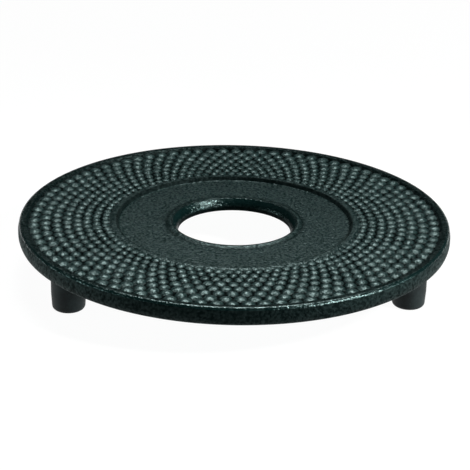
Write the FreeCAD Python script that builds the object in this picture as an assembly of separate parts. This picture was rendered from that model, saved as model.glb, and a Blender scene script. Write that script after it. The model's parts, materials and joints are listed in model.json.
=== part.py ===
# Teapot trivet: a round cast-iron plate with rings of small nubs, standing on three rubber-capped legs.
# Millimetres, +Z up. The origin is on the plate's axis, on the table that the caps stand on.
# The front is -Y. One leg stands at the back, the other two at the front left and the front right.
import FreeCAD, Part
import math
import os

# Plate: the casting's outline
plate_radius = 76.4          # at the belly of the edge, where it is widest
plate_height = 19.5          # from the table to the crest of the rim
rim_height = 6.6             # the edge of the plate, top to bottom
crest_inset = 1.4            # how far the crest stands in from the belly
shoulder_inset = 0.5         # and the shoulder under it
shoulder_drop = 0.35         # from the crest down to the shoulder
belly_drop = 2.6             # from the crest down to the top of the belly
belly_height = 1.9
heel_inset = 0.5             # how far the heel under the belly stands in
heel_height = 0.8            # over the bottom of the rim
foot_inset = 1.7             # how far the bottom of the edge stands in
border_width = 4.0           # from the belly in to the ground between the nubs, over the crest
border_slope = 0.8           # how wide the steep inner side of that border is
border_fall = 0.15           # how much lower the border is there than at the crest
hollow_inset = 7.8           # from the belly in to where the underside rises
underside_hollow = 0.55      # how much higher the underside lies inside the rim's flat foot

# Plate: the seat for the pot
field_drop = 1.4             # ground between the nubs, below the top of the rim
lip_radius = 42.7            # middle of the smooth lip round the recess
lip_crest_width = 2.0        # its flat top
lip_height = 0.48            # above the ground between the nubs
lip_outer_slope = 0.8        # how wide the lip's slope towards the nubs is
step_width = 1.0             # how wide the slope from the lip down to the recess is
recess_drop = 2.25           # recess floor, below the top of the rim
hole_radius = 20.0           # hole through the middle, under its mouth
collar_width = 4.3           # low collar round the hole, from the hole to its foot on the recess floor
collar_height = 0.5
collar_slope = 1.3           # how wide the collar's slope to the recess floor is
mouth_width = 1.9            # how much wider the hole is at the top of the collar
mouth_depth = 2.5            # from there down to where the hole's wall is straight

# Nubs: rings of small six-sided studs, staggered by half a pitch from ring to ring
nub_rings = 8
nubs_per_ring = 88
nub_height = 1.0             # of the outermost ring; the inner rings shrink with their radius
ring_pitch_taper = 0.106     # rings stand this much further apart than average at the rim, and closer inside
border_margin = 1.6          # from the border's foot to the middle of the outermost ring
lip_margin = 1.25            # from the lip's foot to the middle of the innermost ring
edge_nub_reach = 1.1         # how far the nubs of those two rings reach towards the border and the lip

# Legs: pegs cast with the plate, each in a rubber cap
leg_count = 3
leg_inset = 9.6              # from the belly of the edge in to the middle of a leg
peg_radius = 4.2
peg_length = 8.0
pad_radius = 5.1             # flat pad that the cap is pushed up against
peg_bite = 1.4               # how far the pad reaches up into the plate
cap_fit = 0.05               # room between the peg and the cap, each side
cap_socket_room = 0.3        # room past the end of the peg
cap_top_radius = 6.0
cap_bottom_radius = 5.7
cap_edge_bevel = 1.2         # rounded-off edge that meets the table

# Heights over the table
rim_bottom = plate_height - rim_height
ground = plate_height - field_drop
lip_top = ground + lip_height
recess_floor = plate_height - recess_drop
collar_top = recess_floor + collar_height
belly_top = plate_height - belly_drop
underside = rim_bottom + underside_hollow

# Radii that follow from the widths
crest_radius = plate_radius - crest_inset
border_foot = plate_radius - border_width
lip_inner = lip_radius - lip_crest_width / 2
lip_outer = lip_radius + lip_crest_width / 2
lip_foot = lip_outer + lip_outer_slope
recess_radius = lip_inner - step_width
collar_foot = hole_radius + collar_width
hollow_radius = plate_radius - hollow_inset
leg_circle_radius = plate_radius - leg_inset

AXIS = FreeCAD.Vector(0, 0, 1)
CENTRE = FreeCAD.Vector(0, 0, 0)


def around(radius, angle, height):
    """A point at a radius and an angle from the front (-Y) towards +X, in radians."""
    return FreeCAD.Vector(radius * math.sin(angle), -radius * math.cos(angle), height)


def polygon(points):
    """A closed wire through the points."""
    return Part.makePolygon(points + points[:1])


def turned(section):
    """The solid that a section of (radius, height) points makes when it turns about +Z."""
    outline = polygon([FreeCAD.Vector(radius, 0, height) for radius, height in section])
    return Part.Face(outline).revolve(CENTRE, AXIS, 360)


def blank_plate():
    """The plate before the nubs, with its bulging rim, lip, recess and collared hole."""
    return turned([
        (hole_radius, underside),
        (hollow_radius - underside_hollow, underside),
        (hollow_radius, rim_bottom),
        (plate_radius - foot_inset, rim_bottom),
        (plate_radius - heel_inset, rim_bottom + heel_height),
        (plate_radius, belly_top - belly_height),
        (plate_radius, belly_top),
        (plate_radius - shoulder_inset, plate_height - shoulder_drop),
        (crest_radius, plate_height),
        (border_foot + border_slope, plate_height - border_fall),
        (border_foot, ground),
        (lip_foot, ground),
        (lip_outer, lip_top),
        (lip_inner, lip_top),
        (recess_radius, recess_floor),
        (collar_foot, recess_floor),
        (collar_foot - collar_slope, collar_top),
        (hole_radius + mouth_width, collar_top),
        (hole_radius, collar_top - mouth_depth),
    ])


def ring_radii():
    """Radii of the rings of nubs, from the rim inwards."""
    first = border_foot - border_margin
    last = lip_foot + lip_margin
    gaps = nub_rings - 1
    mean_gap = (first - last) / gaps
    radii = [first]
    for gap in range(gaps):
        lean = 1 - 2 * gap / (gaps - 1)
        radii.append(radii[-1] - mean_gap * (1 + ring_pitch_taper * lean))
    return radii


def nub_feet(radii, ring):
    """Outlines of the feet of one ring of nubs: hexagons that share their edges with their neighbours."""
    half_pitch = math.pi / nubs_per_ring
    radius = radii[ring]
    # Between three nubs, the corner of their feet lies at the middle of the triangle that they make
    out = (radii[ring - 1] - radius) / 3 if ring > 0 else edge_nub_reach / 2
    inn = (radius - radii[ring + 1]) / 3 if ring < nub_rings - 1 else edge_nub_reach / 2
    feet = []
    for place in range(nubs_per_ring):
        middle = (2 * place + ring % 2) * half_pitch
        corners = [
            (radius + 2 * out, middle),
            (radius + out, middle + half_pitch),
            (radius - inn, middle + half_pitch),
            (radius - 2 * inn, middle),
            (radius - inn, middle - half_pitch),
            (radius + out, middle - half_pitch),
        ]
        feet.append([around(reach, angle, ground) for reach, angle in corners])
    return feet


def nub_faces(foot, height):
    """Sides of one nub, from the edges of its foot up to the point over its middle."""
    middle = sum(foot, CENTRE) * (1 / len(foot))
    top = middle + FreeCAD.Vector(0, 0, height)
    next_corners = foot[1:] + foot[:1]
    return [Part.Face(polygon([here, there, top])) for here, there in zip(foot, next_corners)]


def ground_strip(outside, inside):
    """The flat ground between two closed wires."""
    return Part.makeFace([outside, inside], "Part::FaceMakerBullseye")


def nubbed(blank):
    """The blank with its ground replaced by the rings of nubs and a strip of ground on either side."""
    radii = ring_radii()
    rows = [nub_feet(radii, ring) for ring in range(nub_rings)]
    faces = []
    for face in blank.Faces:
        is_ground = all(abs(vertex.Z - ground) < 1e-6 for vertex in face.Vertexes)
        if not is_ground:
            faces.append(face)
    for radius, row in zip(radii, rows):
        for foot in row:
            faces += nub_faces(foot, nub_height * radius / radii[0])
    # The first and last rings end in a zigzag: the outermost or innermost corner and the next one of each foot
    outer_zigzag = polygon([corner for foot in rows[0] for corner in foot[:2]])
    inner_zigzag = polygon([corner for foot in rows[-1] for corner in (foot[3], foot[2])])
    border = Part.Wire(Part.makeCircle(border_foot, FreeCAD.Vector(0, 0, ground), AXIS))
    lip = Part.Wire(Part.makeCircle(lip_foot, FreeCAD.Vector(0, 0, ground), AXIS))
    faces.append(ground_strip(border, outer_zigzag))
    faces.append(ground_strip(inner_zigzag, lip))
    skin = Part.makeCompound(faces)
    skin.sewShape()
    return Part.Solid(skin.Shells[0] if skin.ShapeType == "Compound" else skin)


def leg_places():
    """Middles of the legs on the table: the first at the back, then round from the front left."""
    turn = 2 * math.pi / leg_count
    return [around(leg_circle_radius, math.pi + number * turn, 0) for number in range(leg_count)]


def peg():
    """One leg's peg and the pad at its root, which reach a little way into the plate."""
    return turned([
        (0, rim_bottom + peg_bite),
        (0, rim_bottom - peg_length),
        (peg_radius, rim_bottom - peg_length),
        (peg_radius, rim_bottom),
        (pad_radius, rim_bottom),
        (pad_radius, rim_bottom + peg_bite),
    ])


def foot_cap():
    """One rubber cap: a slightly tapered cup, pushed over the peg up to the pad."""
    socket_end = rim_bottom - peg_length - cap_socket_room
    return turned([
        (0, 0),
        (cap_bottom_radius - cap_edge_bevel, 0),
        (cap_bottom_radius, cap_edge_bevel),
        (cap_top_radius, rim_bottom),
        (peg_radius + cap_fit, rim_bottom),
        (peg_radius + cap_fit, socket_end),
        (0, socket_end),
    ])


def main():
    os.makedirs("parts", exist_ok=True)
    places = leg_places()
    blank = blank_plate().multiFuse([peg().translated(place) for place in places]).removeSplitter()
    plate = nubbed(blank.Solids[0])
    print("plate", plate.isValid(), len(plate.Faces), "faces", round(plate.Volume), "mm3")
    plate.exportStep("parts/plate.step")
    for name, place in zip(("rear_foot_cap", "left_foot_cap", "right_foot_cap"), places):
        cap = foot_cap().translated(place)
        cap.exportStep(f"parts/{name}.step")
        print(name, cap.isValid(), round(place.x, 1), round(place.y, 1))


main()
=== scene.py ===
# %% [markdown]
# # A cast-iron teapot trivet
# A trivet is the small stand that a hot teapot is put on. This one is a single round iron casting: rings of
# small nubs, a smooth lip, a recessed seat, a hole in the middle and three short legs in rubber caps.
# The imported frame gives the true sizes. Everything made here sits in that frame, in metres, with +Z up.

# %% Load the frame
import json
import math

import bmesh
import bpy
import numpy as np
from mathutils import Matrix, Vector


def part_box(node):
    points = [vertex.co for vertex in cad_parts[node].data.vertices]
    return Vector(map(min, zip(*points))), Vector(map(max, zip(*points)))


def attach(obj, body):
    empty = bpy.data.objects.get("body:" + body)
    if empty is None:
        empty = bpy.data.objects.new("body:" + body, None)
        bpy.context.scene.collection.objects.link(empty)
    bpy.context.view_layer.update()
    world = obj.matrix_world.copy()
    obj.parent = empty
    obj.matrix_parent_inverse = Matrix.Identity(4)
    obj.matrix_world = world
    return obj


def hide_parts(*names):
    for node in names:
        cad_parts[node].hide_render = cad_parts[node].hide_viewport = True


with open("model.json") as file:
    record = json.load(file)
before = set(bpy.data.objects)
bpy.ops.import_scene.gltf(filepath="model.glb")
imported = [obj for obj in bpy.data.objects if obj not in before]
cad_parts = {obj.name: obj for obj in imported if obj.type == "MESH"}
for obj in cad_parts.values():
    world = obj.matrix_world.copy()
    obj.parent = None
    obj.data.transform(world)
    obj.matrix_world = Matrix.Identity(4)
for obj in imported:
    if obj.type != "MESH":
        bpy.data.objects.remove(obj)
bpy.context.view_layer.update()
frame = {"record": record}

MM = 0.001
plate_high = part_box("plate")[1]
plate_radius = plate_high.x
plate_top = plate_high.z
print(f"plate radius {plate_radius / MM:.1f} mm, top {plate_top / MM:.1f} mm over the table")

# %% [markdown]
# ## Shader maths as plain expressions
# A finish is a small graph of nodes. Written out node by node it is long and hard to follow, so one class
# wraps an output socket and turns `a * b + c` into Math nodes. Every other node comes from one method that
# takes the node's type, its settings and what goes into its sockets.


# %% A wrapped socket
class Wire:
    """An output of a node that can be used in a Python expression."""

    def __init__(self, finish, socket):
        self.finish = finish
        self.socket = socket

    def maths(self, operation, first, second):
        return self.finish.node("Math", {"operation": operation}, {0: first, 1: second})

    def __add__(self, other):
        return self.maths("ADD", self, other)

    def __sub__(self, other):
        return self.maths("SUBTRACT", self, other)

    def __rsub__(self, other):
        return self.maths("SUBTRACT", other, self)

    def __mul__(self, other):
        return self.maths("MULTIPLY", self, other)

    __radd__ = __add__
    __rmul__ = __mul__


print("sockets can be added, subtracted and multiplied")

# %% A finish to wire up
NOISE_ROUGHNESS = 0.55


class Finish:
    """A material, or the world, whose nodes are added one by one."""

    def __init__(self, name, tree=None):
        self.material = None
        if tree is None:
            self.material = bpy.data.materials.new(name)
            self.material.use_nodes = True
            tree = self.material.node_tree
        self.tree = tree
        self.tree.nodes.clear()

    def node(self, kind, settings=None, sockets=None, output=0):
        """Adds a ShaderNode of this kind, sets it up, feeds its sockets and returns one of its outputs."""
        made = self.tree.nodes.new("ShaderNode" + kind)
        for name, value in (settings or {}).items():
            setattr(made, name, value)
        for name, value in (sockets or {}).items():
            if isinstance(value, Wire):
                self.tree.links.new(value.socket, made.inputs[name])
            else:
                made.inputs[name].default_value = value
        return Wire(self, made.outputs[output]) if made.outputs else None

    def carried(self, name):
        """A value that the mesh carries at each of its points."""
        return self.node("Attribute", {"attribute_name": name}, None, output="Fac")

    def noise(self, place, size, detail):
        """Cloudy noise whose blotches are about this size across, in metres."""
        sockets = {"Vector": place, "Scale": 1.0 / size, "Detail": detail, "Roughness": NOISE_ROUGHNESS}
        return self.node("TexNoise", None, sockets)

    def between(self, value, low, high):
        """Where a value lies between two others, from 0 to 1."""
        sockets = {"Value": value, "From Min": low, "From Max": high}
        return self.node("MapRange", {"interpolation_type": "SMOOTHSTEP"}, sockets)

    def mixed(self, share, first, second):
        """A blend of two colours: inputs 6 and 7 of a Mix node are its colours, and output 2 the result."""
        sockets = {0: share, 6: first, 7: second}
        return self.node("Mix", {"data_type": "RGBA"}, sockets, output=2)

    def bumped(self, height, depth, normal=None):
        """A normal bent by a height from 0 to 1 that stands for this depth in metres."""
        sockets = {"Height": height, "Distance": depth, "Strength": 1.0}
        if normal is not None:
            sockets["Normal"] = normal
        return self.node("Bump", None, sockets)

    def shader(self, sockets):
        return self.node("BsdfPrincipled", None, sockets)

    def surface(self, shader):
        self.node("OutputMaterial", None, {"Surface": shader})
        return self.material


print("shader helpers ready")

# %% [markdown]
# ## The iron's finish
# The casting is black-green lacquered iron. Handling keeps the lacquer bright on the high spots, and soot
# and wax dull it in the gaps. The plate's mesh says how much gloss is left at each point, in an attribute:
# most of it on the tops of the nubs, none between them. Where little is left, the colour is also darkened as
# painted shade. One shader with a changing specular level would be shorter, but an export can't bake that,
# so two shaders, lacquer and soot, are mixed by that share.
# Two more attributes come with it. `raised` is 1 on top of a nub, where the lacquer is worn paler and a
# highlight is painted, and `coarse` is 1 where thick lacquer lies over a coarse skin.
# The sand of the mould leaves a fine grain everywhere, so the colour, the roughness, the bump and the mix
# each get noise of the size that the real grain has.

# %% Iron colours and grain
# The deep colour is the dark end of the blotches, and also the painted shade where little polish is left.
IRON_DEEP = (0.0005, 0.0022, 0.0021)
IRON_PLAIN = (0.0034, 0.0170, 0.0165)
# The worn colour is paler lacquer on the nub tops, and also a painted highlight there.
IRON_WORN_AND_HIGHLIGHT = (0.0140, 0.0300, 0.0290)
IRON_TINT = (0.70, 1.00, 0.98)
LACQUER_SPECULAR = 1.00
LACQUER_ROUGHNESS = 0.29
GRAIN_ROUGHNESS = 0.12
NUB_SMOOTHNESS = 0.01
COARSE_SMOOTHNESS = 0.14
AS_CAST_ROUGHNESS = 0.24
SOOT_SPECULAR = 0.01
SOOT_ROUGHNESS = 0.60
LEAST_GLOSS = 0.22
GRAIN_GLOSS = 1.56
GLANCING_GLOSS = 5.0
BLOTCH_SIZE = 9 * MM
GRAIN_SIZE = 0.95 * MM
GRAIN_DEPTH = 0.36 * MM
PITTING_SIZE = 2.6 * MM
PITTING_DEPTH = 0.25 * MM
print(f"grain {GRAIN_SIZE / MM:.2f} mm across, pitting {PITTING_SIZE / MM:.2f} mm")


# %% Iron
def cast_iron():
    iron = Finish("lacquered_iron")
    place = iron.node("TexCoord", None, None, output="Object")
    polish_and_painted_shade = iron.carried("polish_and_painted_shade")
    blotches = iron.noise(place, BLOTCH_SIZE, detail=4.0)
    grain = iron.noise(place, GRAIN_SIZE, detail=2.0)
    pitting = iron.noise(place, PITTING_SIZE, detail=3.0)
    raised = iron.carried("raised")
    coarse = iron.carried("coarse")
    # Painted shade: the colour is darker where little polish is left. It also varies in blotches and grains.
    tone_and_painted_shade = (blotches * 0.5 + grain * 0.5) * iron.between(polish_and_painted_shade, 0.05, 0.60)
    body = iron.mixed(tone_and_painted_shade, (*IRON_DEEP, 1.0), (*IRON_PLAIN, 1.0))
    # The tops of the nubs are paler: partly worn lacquer, partly a painted highlight.
    wear_and_painted_highlight = iron.between(raised, 0.10, 0.50) * (0.4 + blotches * 0.8 + grain * 0.4)
    # Pitting and grain fade on the nubs, and thick lacquer fills part of the grain.
    normal = iron.bumped(pitting * (1.0 - raised * 0.9), PITTING_DEPTH)
    normal = iron.bumped(grain * (1.0 - raised * 0.7 - coarse * 0.3), GRAIN_DEPTH, normal)
    colour = iron.mixed(wear_and_painted_highlight, body, (*IRON_WORN_AND_HIGHLIGHT, 1.0))
    # Dull places off the nubs are as they were cast: rougher, with some gloss at a glancing angle.
    as_cast = (1.0 - iron.between(polish_and_painted_shade, 0.05, 0.25)) * (1.0 - iron.between(raised, 0.0, 0.05))
    roughness = LACQUER_ROUGHNESS + grain * GRAIN_ROUGHNESS - raised * NUB_SMOOTHNESS
    roughness = roughness - coarse * COARSE_SMOOTHNESS + as_cast * AS_CAST_ROUGHNESS

    def coat(rough, specular):
        return iron.shader({
            "Base Color": colour,
            "Roughness": rough,
            "Specular IOR Level": specular,
            "Specular Tint": (*IRON_TINT, 1.0),
            "Normal": normal,
        })

    lacquer = coat(roughness, LACQUER_SPECULAR)
    soot = coat(SOOT_ROUGHNESS, SOOT_SPECULAR)
    glance = iron.node("LayerWeight", None, {"Blend": 0.5}, output="Facing")
    glitter = LEAST_GLOSS + iron.between(grain, 0.30, 0.70) * GRAIN_GLOSS
    gloss = polish_and_painted_shade * glitter * (1.0 + as_cast * glance * glance * GLANCING_GLOSS)
    return iron.surface(iron.node("MixShader", None, {0: gloss, 1: soot, 2: lacquer}))


iron_finish = cast_iron()
print("made", iron_finish.name)

# %% [markdown]
# ## The rubber's finish
# The caps are moulded black rubber, with almost no gloss and a faint grey bloom. It looks the same all
# round, so one shader with two sizes of noise is enough and the mesh carries nothing for it. Rubber is
# greyer than the green-black iron, which is how the eye tells the two apart.

# %% Rubber
RUBBER_DARK = (0.0075, 0.0098, 0.0104)
RUBBER_BLOOM = (0.0210, 0.0270, 0.0280)
RUBBER_SPECULAR = 0.14
RUBBER_ROUGHNESS = 0.42
RUBBER_GRAIN_ROUGHNESS = 0.2
RUBBER_GRAIN_SIZE = 0.35 * MM
RUBBER_GRAIN_DEPTH = 0.02 * MM
BLOOM_SIZE = 5 * MM


def moulded_rubber():
    rubber = Finish("moulded_rubber")
    place = rubber.node("TexCoord", None, None, output="Object")
    clouds = rubber.noise(place, BLOOM_SIZE, detail=4.0)
    grain = rubber.noise(place, RUBBER_GRAIN_SIZE, detail=2.0)
    bloom = rubber.between(clouds * 0.7 + grain * 0.3, 0.35, 0.70)
    colour = rubber.mixed(bloom, (*RUBBER_DARK, 1.0), (*RUBBER_BLOOM, 1.0))
    return rubber.surface(rubber.shader({
        "Base Color": colour,
        "Roughness": RUBBER_ROUGHNESS + grain * RUBBER_GRAIN_ROUGHNESS,
        "Specular IOR Level": RUBBER_SPECULAR,
        "Normal": rubber.bumped(grain, RUBBER_GRAIN_DEPTH),
    }))


rubber_finish = moulded_rubber()
print("made", rubber_finish.name)

# %% [markdown]
# ## Turning a section into a mesh
# The plate, the pegs and the caps are all round, so each starts as a section of (radius, height) corners. A
# corner with a rounding is replaced by an arc. The section is then swept about an upright axis into a grid
# of quads, which stays clean at any fineness. A Screw modifier would do as well, but a grid lets the nubs
# be raised point by point.

# %% Sections
ARC_STEP = math.radians(15)
LEAST_TURN = 1e-3


def rounded(corners):
    """The points of a closed section, with an arc at each corner of (radius, height, rounding)."""
    points = []
    for here, (radius, height, rounding) in enumerate(corners):
        corner = Vector((radius, height))
        before = Vector(corners[here - 1][:2])
        after = Vector(corners[(here + 1) % len(corners)][:2])
        to_before = (before - corner).normalized()
        to_after = (after - corner).normalized()
        turn = math.pi - to_before.angle(to_after)
        if rounding == 0 or turn < LEAST_TURN:
            points.append(corner)
            continue
        reach = rounding * math.tan(turn / 2)
        middle = corner + (to_before + to_after).normalized() * (rounding / math.cos(turn / 2))
        start = corner + to_before * reach - middle
        side = math.copysign(1, start.cross(corner + to_after * reach - middle))
        steps = max(2, math.ceil(turn / ARC_STEP))
        for step in range(steps + 1):
            angle = side * turn * step / steps
            cosine, sine = math.cos(angle), math.sin(angle)
            turned = Vector((start.x * cosine - start.y * sine, start.x * sine + start.y * cosine))
            points.append(middle + turned)
    return np.array([tuple(point) for point in points])


print(f"an arc has a point every {math.degrees(ARC_STEP):.0f} degrees or closer")

# %% Lathes
MERGE_DISTANCE = 1e-8


def lathe_grid(section, columns):
    """Points (rows, columns, 3) of a section turned about +Z, counted from the front (-Y) towards +X."""
    angles = np.arange(columns) * 2 * math.pi / columns
    radius, height = section[:, :1], section[:, 1:]
    return np.stack([radius * np.sin(angles), -radius * np.cos(angles), height + 0 * angles], axis=-1)


def tidy_skin(mesh):
    """Joins the points that meet on the axis and turns every face outwards."""
    skin = bmesh.new()
    skin.from_mesh(mesh)
    bmesh.ops.remove_doubles(skin, verts=skin.verts, dist=MERGE_DISTANCE)
    bmesh.ops.recalc_face_normals(skin, faces=skin.faces)
    skin.to_mesh(mesh)
    skin.free()


def grid_piece(name, grid, finish, ring=False):
    """A mesh object from a grid: a closed ring, or a solid whose first and last rows lie on the axis."""
    rows, columns = grid.shape[:2]
    index = np.arange(rows * columns).reshape(rows, columns)
    across = np.roll(index, -1, axis=1)
    along = np.roll(index, -1, axis=0)
    beyond = np.roll(along, -1, axis=1)
    quads = np.stack([index, across, beyond, along], axis=-1)
    quads = (quads if ring else quads[:-1]).reshape(-1, 4)
    mesh = bpy.data.meshes.new(name)
    mesh.from_pydata(grid.reshape(-1, 3).tolist(), [], quads.tolist())
    tidy_skin(mesh)
    mesh.shade_smooth()
    mesh.materials.append(finish)
    piece = bpy.data.objects.new(name, mesh)
    bpy.context.collection.objects.link(piece)
    print(name, len(quads), "quads")
    return piece


print("lathe ready")

# %% [markdown]
# ## The plate's section
# Seen in section, the plate is a flat disc with a bulging edge. Its top has a smooth border that slopes down
# to the nubs' ground, then a lip, a step down to the seat, and a low collar round the hole. A Bevel modifier
# could soften the edges, but here each one has its own radius. Cast edges are never sharp, so every true
# corner is rounded. The few points without a rounding lie along flat stretches, where they keep a change of
# polish from spreading.

# %% Plate sizes
rim_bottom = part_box("rear_foot_cap")[1].z
underside = rim_bottom + 0.55 * MM
belly = plate_radius - 0.05 * MM
shoulder = plate_radius - 0.5 * MM
crest = plate_top - 0.03 * MM
border_foot = plate_radius - 4.0 * MM
ground = plate_top - 1.4 * MM
lip_radius = 42.7 * MM
lip_half_width = 1.0 * MM
lip_top = ground + 0.48 * MM
lip_foot = lip_radius + lip_half_width + 0.8 * MM
step_foot = lip_radius - lip_half_width - 0.8 * MM
seat = plate_top - 2.25 * MM
hole_radius = frame["record"]["mounts"][0]["dims"]["r_mm"] * MM
collar_foot = hole_radius + 4.3 * MM
collar_top = seat + 0.5 * MM
hollow_radius = plate_radius - 7.8 * MM
hollow_slope = 0.55 * MM
print(f"hole radius {hole_radius / MM:.1f} mm, seat {(plate_top - seat) / MM:.2f} mm under the top")

# %% Plate section
top_corners = [
    (plate_radius - 1.7 * MM, rim_bottom, 0.7 * MM),
    (shoulder, rim_bottom + 0.8 * MM, 1.2 * MM),
    (belly, plate_top - 4.4 * MM, 3.0 * MM),
    (belly, plate_top - 2.6 * MM, 3.0 * MM),
    (shoulder, plate_top - 0.35 * MM, 1.0 * MM),
    (plate_radius - 1.4 * MM, crest, 0.9 * MM),
    (plate_radius - 2.0 * MM, plate_top - 0.07 * MM, 0.0),
    (border_foot + 0.8 * MM, plate_top - 0.15 * MM, 0.6 * MM),
    (border_foot, ground, 0.5 * MM),
]
seat_corners = [
    (lip_foot, ground, 0.6 * MM),
    (lip_radius + lip_half_width, lip_top, 0.5 * MM),
    (lip_radius - 0.4 * MM, lip_top, 0.0),
    (lip_radius - lip_half_width, lip_top, 0.45 * MM),
    (step_foot, seat, 0.4 * MM),
    (step_foot - 1.0 * MM, seat, 0.0),
    (collar_foot + 1.5 * MM, seat, 0.0),
    (collar_foot, seat, 1.2 * MM),
    (collar_foot - 1.3 * MM, collar_top, 0.8 * MM),
    (hole_radius + 2.7 * MM, collar_top, 0.0),
    (hole_radius + 1.9 * MM, collar_top, 0.85 * MM),
    (hole_radius, collar_top - 2.5 * MM, 3.0 * MM),
    (hole_radius, underside, 0.4 * MM),
    (hollow_radius - hollow_slope, underside, 0.8 * MM),
    (hollow_radius, rim_bottom, 0.5 * MM),
]
section = rounded(top_corners + seat_corners)
print("section has", len(section), "points")

# %% [markdown]
# ## The nubs
# The nubs are cast domes in rings, each ring turned half a pitch from the next, and they shrink towards the
# middle. Seven hundred separate domes pushed into the plate would leave hidden faces inside it. So the
# plate stays one skin: its ground is raised by the height of whichever dome covers that point. No two cast
# nubs are quite alike, so each one's size, height and place differ a little, from a seeded generator.

# %% Nub field
NUB_RINGS = 8
NUBS_PER_RING = 88
NUB_HEIGHT = 1.10 * MM
NUB_RADIUS = 2.50 * MM
NUB_ROUNDNESS = 0.90
BORDER_MARGIN = 1.6 * MM
LIP_MARGIN = 1.25 * MM
RING_PITCH_TAPER = 0.106
UNEVEN_SIZE = 0.05
UNEVEN_HEIGHT = 0.08
UNEVEN_PLACE = 0.08 * MM
random = np.random.default_rng(11)


def ring_radii():
    """Radii of the rings, from the rim inwards; the outer rings stand further apart."""
    first, last = border_foot - BORDER_MARGIN, lip_foot + LIP_MARGIN
    lean = np.linspace(1, -1, NUB_RINGS - 1)
    gaps = (first - last) / (NUB_RINGS - 1) * (1 + RING_PITCH_TAPER * lean)
    return first - np.concatenate([[0], np.cumsum(gaps)])


def nub_heights(radius, angle):
    """Height of the nubs at points given by radius and angle, and the same as a share from 0 to 1."""
    height = np.zeros_like(radius)
    share = np.zeros_like(radius)
    pitch = 2 * math.pi / NUBS_PER_RING
    rings = ring_radii()
    for number, ring in enumerate(rings):
        size = NUB_RADIUS * ring / rings[0] * (1 + UNEVEN_SIZE * random.standard_normal(NUBS_PER_RING))
        rise = NUB_HEIGHT * ring / rings[0] * (1 + UNEVEN_HEIGHT * random.standard_normal(NUBS_PER_RING))
        shift = UNEVEN_PLACE * random.standard_normal((2, NUBS_PER_RING))
        turns = angle / pitch - number % 2 / 2
        nearest = np.round(turns).astype(int) % NUBS_PER_RING
        along = (turns - np.round(turns)) * pitch * ring - shift[0][nearest]
        across = radius - ring - shift[1][nearest]
        inside = np.clip(1 - (along**2 + across**2) / size[nearest] ** 2, 0, 1)
        dome = inside**NUB_ROUNDNESS
        height = np.maximum(height, rise[nearest] * dome)
        share = np.maximum(share, dome)
    return height, share


print("ring radii in mm", np.round(ring_radii() / MM, 1))

# %% [markdown]
# ## The plate's skin
# The section is cut open at its ground and the rows under the nubs are put in. A casting is also never
# truly round, so the whole skin gets a slow ripple a few hundredths of a millimetre deep, which shows as
# wavering reflections along the edge. A Displace modifier with a cloud texture could do it, but a sum of a
# few waves is enough, and it is used to move the skin inwards, so that the plate keeps inside its size.

# %% Rows under the nubs, and the ripple
ROW_HEIGHT = 0.34 * MM
SAME_HEIGHT = 1e-7
RIPPLE = 0.035 * MM
RIPPLE_LENGTH = 16 * MM
RIPPLE_SHORTEST = 0.6
RIPPLE_LONGEST = 1.8
RIPPLE_WAVES = 14
RIPPLE_PEAK = 3


def nubbed_section():
    """The plate's section with the rows that the nubs need."""
    on_ground = np.isclose(section[:, 1], ground, atol=SAME_HEIGHT)
    start, end = np.flatnonzero(on_ground)[[0, -1]]
    rows = round((section[start, 0] - section[end, 0]) / ROW_HEIGHT)
    radii = np.linspace(section[start, 0], section[end, 0], rows + 1)[1:-1]
    field = np.stack([radii, np.full_like(radii, ground)], axis=1)
    return np.concatenate([section[:start + 1], field, section[end:]])


def ripple(points):
    """A slow unevenness at each point, from waves that run in random directions."""
    total = np.zeros(points.shape[:2])
    for _ in range(RIPPLE_WAVES):
        direction = random.standard_normal(3)
        length = RIPPLE_LENGTH * random.uniform(RIPPLE_SHORTEST, RIPPLE_LONGEST)
        phase = random.uniform(0, 2 * math.pi)
        total += np.sin(points @ (direction / np.linalg.norm(direction)) * 2 * math.pi / length + phase)
    return total / math.sqrt(RIPPLE_WAVES)


print("section with the nubs' rows has", len(nubbed_section()), "points")

# %% [markdown]
# ## Where the lacquer still shines, and where shade is painted
# Hands and pots rub the crest of the edge and the mouth of the hole, so these shine most. The seat, the lip
# and the collar keep about two thirds of that, and the border, the walls, the step and the bore stay dull.
# Where little gloss is left, the colour is darkened as painted shade: on the border, the walls and the step,
# in the crease at the collar's foot, in a ring round the mouth and in the bore. A painted mask would need an
# image, so the share of gloss is worked out from each point's radius and height.

# %% Polish
# Low values also darken the colour, as painted shade.
PLAIN_POLISH = 0.65
BORDER_PAINTED_SHADE_POLISH = 0.24
WALL_PAINTED_SHADE_POLISH = 0.09
STEP_PAINTED_SHADE_POLISH = 0.09
CREASE_PAINTED_SHADE_POLISH = 0.30
COLLAR_POLISH = 0.65
HOLE_POLISH = 0.38
BORE_PAINTED_SHADE_POLISH = 0.03
LIP_POLISH = 0.62
CREST_POLISH = 1.00
EDGE_WIDTH = 0.9 * MM
CREASE_WIDTH = 1.2 * MM

wall_top = plate_top - 0.7 * MM
crest_inside = plate_radius - 1.27 * MM
lip_edge = lip_foot - 0.45 * MM
step_outside = lip_radius - 0.5 * MM
step_inside = step_foot - 0.2 * MM
step_bottom = seat + 0.12 * MM
collar_bottom = seat + 0.1 * MM
crease = collar_foot + 0.2 * MM
painted_shade_ring_radius = hole_radius + 2.6 * MM
mouth_radius = hole_radius + 2.12 * MM
mouth_bottom = collar_top - 0.4 * MM
bore_radius = hole_radius + 0.15 * MM


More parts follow.
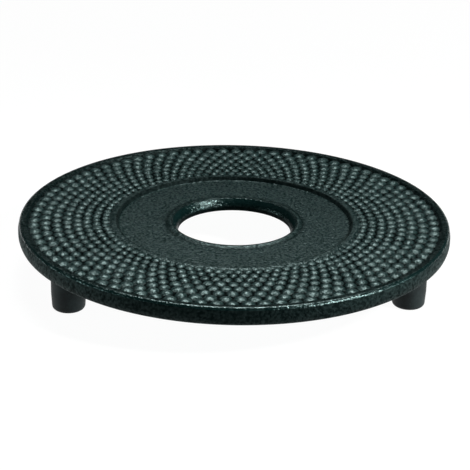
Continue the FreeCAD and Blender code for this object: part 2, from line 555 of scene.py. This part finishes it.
def gloss_and_shade_map(radius, height):
    """Gloss left on smooth parts, least in the bore and on walls, most on crests; low values paint shade."""
    polish_and_painted_shade = np.full_like(radius, PLAIN_POLISH)
    border = radius > border_foot
    step = (radius < step_outside) & (radius > step_inside)
    mouth = radius < mouth_radius
    # Low values paint shade by darkening the colour: on the border, the walls and the step, in the crease,
    # in a ring round the mouth and in the bore.
    polish_and_painted_shade[border] = BORDER_PAINTED_SHADE_POLISH
    polish_and_painted_shade[border & (height < wall_top)] = WALL_PAINTED_SHADE_POLISH
    polish_and_painted_shade[step & (height > step_bottom)] = STEP_PAINTED_SHADE_POLISH
    polish_and_painted_shade[(radius < collar_foot) & (height > collar_bottom)] = COLLAR_POLISH
    polish_and_painted_shade[abs(radius - crease) < CREASE_WIDTH / 2] = CREASE_PAINTED_SHADE_POLISH
    polish_and_painted_shade[radius < painted_shade_ring_radius] = STEP_PAINTED_SHADE_POLISH
    polish_and_painted_shade[mouth & (height > mouth_bottom)] = CREST_POLISH
    polish_and_painted_shade[mouth & (height < mouth_bottom)] = HOLE_POLISH
    polish_and_painted_shade[radius < bore_radius] = BORE_PAINTED_SHADE_POLISH
    polish_and_painted_shade[(radius > crest_inside) & (height > wall_top)] = CREST_POLISH
    polish_and_painted_shade[(abs(radius - lip_edge) < EDGE_WIDTH / 2) & (height > ground)] = LIP_POLISH
    return polish_and_painted_shade


def coarse_skin(radius, height):
    """1 where thick lacquer lies over a coarse skin: in the hole and along the crest of the edge."""
    crest_side = (radius > crest_inside) & (height > wall_top)
    return np.where((radius < mouth_radius) | crest_side, 1.0, 0.0)


print(f"polish from {BORE_PAINTED_SHADE_POLISH:.2f} in the bore to {CREST_POLISH:.2f} on the crests")

# %% [markdown]
# ## The plate
# The section is swept into a grid whose columns divide evenly among the nubs of a ring, and the ground is
# then raised into nubs. The finish reads three values from the mesh. They could be painted as vertex
# colours, but they are known for every point here, so they are stored as attributes.

# %% Build the plate
COLUMNS_PER_NUB = 12
NUB_POLISH = 0.92
# How fast the polish falls off a nub's top, and so how far the painted shade between the nubs reaches.
GAP_SOFTNESS = 1.05

field_bottom = ground - 0.2 * MM
field_outside = border_foot + 0.7 * MM


def make_plate():
    grid = lathe_grid(nubbed_section(), NUBS_PER_RING * COLUMNS_PER_NUB)
    radius = np.hypot(grid[..., 0], grid[..., 1])
    angle = np.arctan2(grid[..., 0], -grid[..., 1])
    top_side = (grid[..., 2] > field_bottom) & (radius > lip_radius) & (radius < field_outside)
    polish_and_painted_shade = gloss_and_shade_map(radius, grid[..., 2])
    height, share = nub_heights(radius, angle)
    fresh = np.maximum(grid[..., 2], ground + height)
    grid[..., 2] = np.where(top_side, fresh, grid[..., 2])
    inward = 1 - RIPPLE * (1 + ripple(grid) / RIPPLE_PEAK) / radius
    grid[..., 0] *= inward
    grid[..., 1] *= inward
    plate = grid_piece("iron_plate", grid, iron_finish, ring=True)
    in_field = top_side & (radius < border_foot) & (radius > lip_foot)
    for name, values in (
        ("raised", np.where(in_field, share, 0)),
        ("coarse", coarse_skin(radius, grid[..., 2])),
        # Between the nubs the polish falls to nothing, which darkens the colour there as painted shade.
        ("polish_and_painted_shade", np.where(in_field, NUB_POLISH * share**GAP_SOFTNESS, polish_and_painted_shade)),
    ):
        plate.data.attributes.new(name, "FLOAT", "POINT").data.foreach_set("value", values.ravel())
    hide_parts("plate")
    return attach(plate, "root")


make_plate()

# %% [markdown]
# ## Legs and caps
# Under the plate stand three short pegs, cast in one with it, and a rubber cap is pushed over each up to a
# flat pad. Both could be plain cylinders, but they are turned from sections like the plate's. The frame's
# own caps have plain bevels, so they are replaced by caps with rounded edges and the slight barrel of soft
# rubber on a peg.

# %% Sections of the pegs and caps
PEG_RADIUS = 4.2 * MM
PEG_LENGTH = 8.0 * MM
PEG_ROUNDING = 0.5 * MM
PAD_RADIUS = 5.1 * MM
PAD_ROUNDING = 0.15 * MM
CAP_ROOM = 0.05 * MM
SOCKET_ROOM = 0.3 * MM
SOCKET_ROUNDING = 0.2 * MM
SOLE_INSET = 0.45 * MM
SOLE_ROUNDING = 1.5 * MM
BARREL_INSET = 0.12 * MM
BARREL_SHARE = 0.45
BARREL_ROUNDING = 14 * MM
BRIM_INSET = 0.15 * MM
BRIM_ROUNDING = 0.7 * MM

peg_end = rim_bottom - PEG_LENGTH
pad_top = underside + 0.3 * MM


def peg_section():
    return rounded([
        (0, peg_end, 0),
        (PEG_RADIUS, peg_end, PEG_ROUNDING),
        (PEG_RADIUS, rim_bottom, 0),
        (PAD_RADIUS, rim_bottom, PAD_ROUNDING),
        (PAD_RADIUS, pad_top, 0),
        (0, pad_top, 0),
    ])


def cap_section(low, high):
    reach = (high.x - low.x) / 2
    socket_end = peg_end - SOCKET_ROOM
    socket = PEG_RADIUS + CAP_ROOM
    return rounded([
        (0, low.z, 0),
        (reach - SOLE_INSET, low.z, SOLE_ROUNDING),
        (reach - BARREL_INSET, high.z * BARREL_SHARE, BARREL_ROUNDING),
        (reach - BRIM_INSET, high.z, BRIM_ROUNDING),
        (socket, high.z, SOCKET_ROUNDING),
        (socket, socket_end, SOCKET_ROUNDING),
        (0, socket_end, 0),
    ])


print("peg section has", len(peg_section()), "points")

# %% Build the pegs and caps
CAP_COLUMNS = 96


def stand_at(piece, low, high):
    piece.location = ((low.x + high.x) / 2, (low.y + high.y) / 2, 0)
    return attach(piece, "root")


for side in ("rear", "left", "right"):
    low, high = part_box(side + "_foot_cap")
    leg = grid_piece(side + "_leg_peg", lathe_grid(peg_section(), CAP_COLUMNS), iron_finish)
    stand_at(leg, low, high)
    cap = grid_piece(side + "_rubber_cap", lathe_grid(cap_section(low, high), CAP_COLUMNS), rubber_finish)
    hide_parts(side + "_foot_cap")
    stand_at(cap, low, high)

# %% [markdown]
# ## The floor
# The trivet stands on a plain white floor. It could be lit until it is white, but that would wash the iron
# out. So its paint is dark and takes only the trivet's shadow, and it shows white to nothing but the camera
# and reflections.

# %% Floor
FLOOR_SIZE = 40.0
FLOOR_PAINT = (0.08, 0.08, 0.08, 1.0)
FLOOR_SHOWN = 0.96
WHITE = (1.0, 1.0, 1.0, 1.0)


def studio_floor():
    paint = Finish("floor_paint")
    ways = ("Is Camera Ray", "Is Glossy Ray", "Is Transmission Ray")
    seen = sum(paint.node("LightPath", None, None, output=way) for way in ways)
    matte = paint.node("BsdfDiffuse", None, {"Color": FLOOR_PAINT})
    white = paint.node("Emission", None, {"Color": WHITE, "Strength": FLOOR_SHOWN})
    both = paint.node("AddShader", None, {0: matte, 1: white})
    shown = paint.node("MixShader", None, {0: seen, 1: matte, 2: both})
    mesh = bpy.data.meshes.new("floor")
    half = FLOOR_SIZE / 2
    corners = [(-half, -half, 0), (half, -half, 0), (half, half, 0), (-half, half, 0)]
    mesh.from_pydata(corners, [], [(0, 1, 2, 3)])
    mesh.materials.append(paint.surface(shown))
    floor = bpy.data.objects.new("floor", mesh)
    bpy.context.collection.objects.link(floor)


studio_floor()
print("floor laid")

# %% [markdown]
# ## Lamps and world
# The light is a studio's. A lamp with a grid hangs behind the trivet, well above, is aimed at the front of
# the plate and puts the bright spots on the nubs. A small, strong one at the right front makes the glints
# along the front of the rim and inside the hole. A wide, weak one behind gives the flat seat its sheen, and
# another in front does the same for a view from behind. Two close to the floor, on the left and at the right
# front, light the ends of the plate's edge. Little light comes from beside the camera, and the edge's colour
# is darkened as painted shade, so the middle of the edge is nearly black.
# An image of a real studio could light everything at once. With a few lamps, each glint can be traced to the
# one that makes it, and moved.

# %% Lamps
LAMP_COLOUR = (1.00, 1.00, 0.99)
SHEEN_COLOUR = (0.80, 1.00, 0.99)
PLATE_MIDDLE = (0.0, 0.0, 0.015)
PLATE_FRONT = (0.0, -0.08, 0.015)
OPEN_SPREAD = math.pi
GRID_SPREAD = math.radians(40)


def soft_lamp(name, place, size, glow, colour=LAMP_COLOUR, aim=PLATE_MIDDLE, spread=OPEN_SPREAD):
    """A rectangular lamp at a place in metres; its glow is how bright its face looks head on."""
    lamp = bpy.data.lights.new(name, "AREA")
    lamp.shape = "RECTANGLE"
    lamp.size, lamp.size_y = size
    lamp.spread = spread
    power_needed = 1 - spread / 2 / math.tan(spread / 2)
    lamp.energy = glow * math.pi * size[0] * size[1] * power_needed
    lamp.color = colour
    holder = bpy.data.objects.new(name, lamp)
    holder.location = place
    holder.rotation_euler = (Vector(aim) - Vector(place)).to_track_quat("-Z", "Y").to_euler()
    bpy.context.collection.objects.link(holder)
    print(f"{name}: {lamp.energy:.1f} W")


soft_lamp("top_lamp", (0.05, 0.31, 0.72), (0.50, 0.21), 24.5, aim=PLATE_FRONT, spread=GRID_SPREAD)
soft_lamp("right_lamp", (0.66, -0.41, 0.60), (0.11, 0.11), 200.0)
soft_lamp("back_lamp", (0.0, 1.40, 0.44), (1.80, 0.26), 0.18, SHEEN_COLOUR)
soft_lamp("front_lamp", (0.0, -1.40, 0.44), (1.80, 0.26), 0.26, SHEEN_COLOUR)
soft_lamp("left_lamp", (-0.85, -0.12, 0.09), (0.60, 0.16), 11.0, SHEEN_COLOUR)
soft_lamp("low_lamp", (0.86, -0.38, 0.08), (0.65, 0.12), 32.0, SHEEN_COLOUR)

# %% World
WORLD_STRENGTH = 0.015


def studio_world():
    world = bpy.data.worlds.new("studio")
    world.use_nodes = True
    bpy.context.scene.world = world
    sky = Finish("studio", world.node_tree)
    back = sky.node("Background", None, {"Color": (*SHEEN_COLOUR, 1.0), "Strength": WORLD_STRENGTH})
    sky.node("OutputWorld", None, {"Surface": back})


studio_world()
print("world strength", WORLD_STRENGTH)

# %% [markdown]
# ## Camera
# The view is from a little above, with a long lens that flattens the plate. A camera could be pointed with a
# Track To constraint, but here the distance, the height and the small turns were found by lining the plate's
# circles and rings of nubs up with the picture, so they are written as angles.

# %% Camera
CAMERA_DISTANCE = 563 * MM
CAMERA_ELEVATION = math.radians(22.17)
CAMERA_TURN = math.radians(-4.05)
CAMERA_PAN = math.radians(-0.03)
CAMERA_TILT = math.radians(0.688)
CAMERA_ROLL = math.radians(1.198)
CAMERA_LENS = 121.43
SENSOR_WIDTH = 36.0


def photo_camera():
    lens = bpy.data.cameras.new("camera")
    lens.lens = CAMERA_LENS
    lens.sensor_width = SENSOR_WIDTH
    camera = bpy.data.objects.new("camera", lens)
    flat = math.cos(CAMERA_ELEVATION)
    back = Vector((math.sin(CAMERA_TURN) * flat, -math.cos(CAMERA_TURN) * flat, math.sin(CAMERA_ELEVATION)))
    right = Vector((math.cos(CAMERA_TURN), math.sin(CAMERA_TURN), 0))
    down = back.cross(right) * -1
    axes = Matrix((right, down, -back))
    for angle, axis in ((CAMERA_PAN, "Y"), (CAMERA_TILT, "X"), (CAMERA_ROLL, "Z")):
        axes = Matrix.Rotation(angle, 3, axis) @ axes
    turn = Matrix((axes[0], -axes[1], -axes[2])).transposed()
    target = Vector((0, 0, plate_top))
    camera.matrix_world = Matrix.Translation(target + back * CAMERA_DISTANCE) @ turn.to_4x4()
    bpy.context.collection.objects.link(camera)
    bpy.context.scene.camera = camera


photo_camera()
bpy.context.scene.view_settings.view_transform = "Standard"
print(f"camera {CAMERA_DISTANCE:.3f} m from the middle of the plate's top")
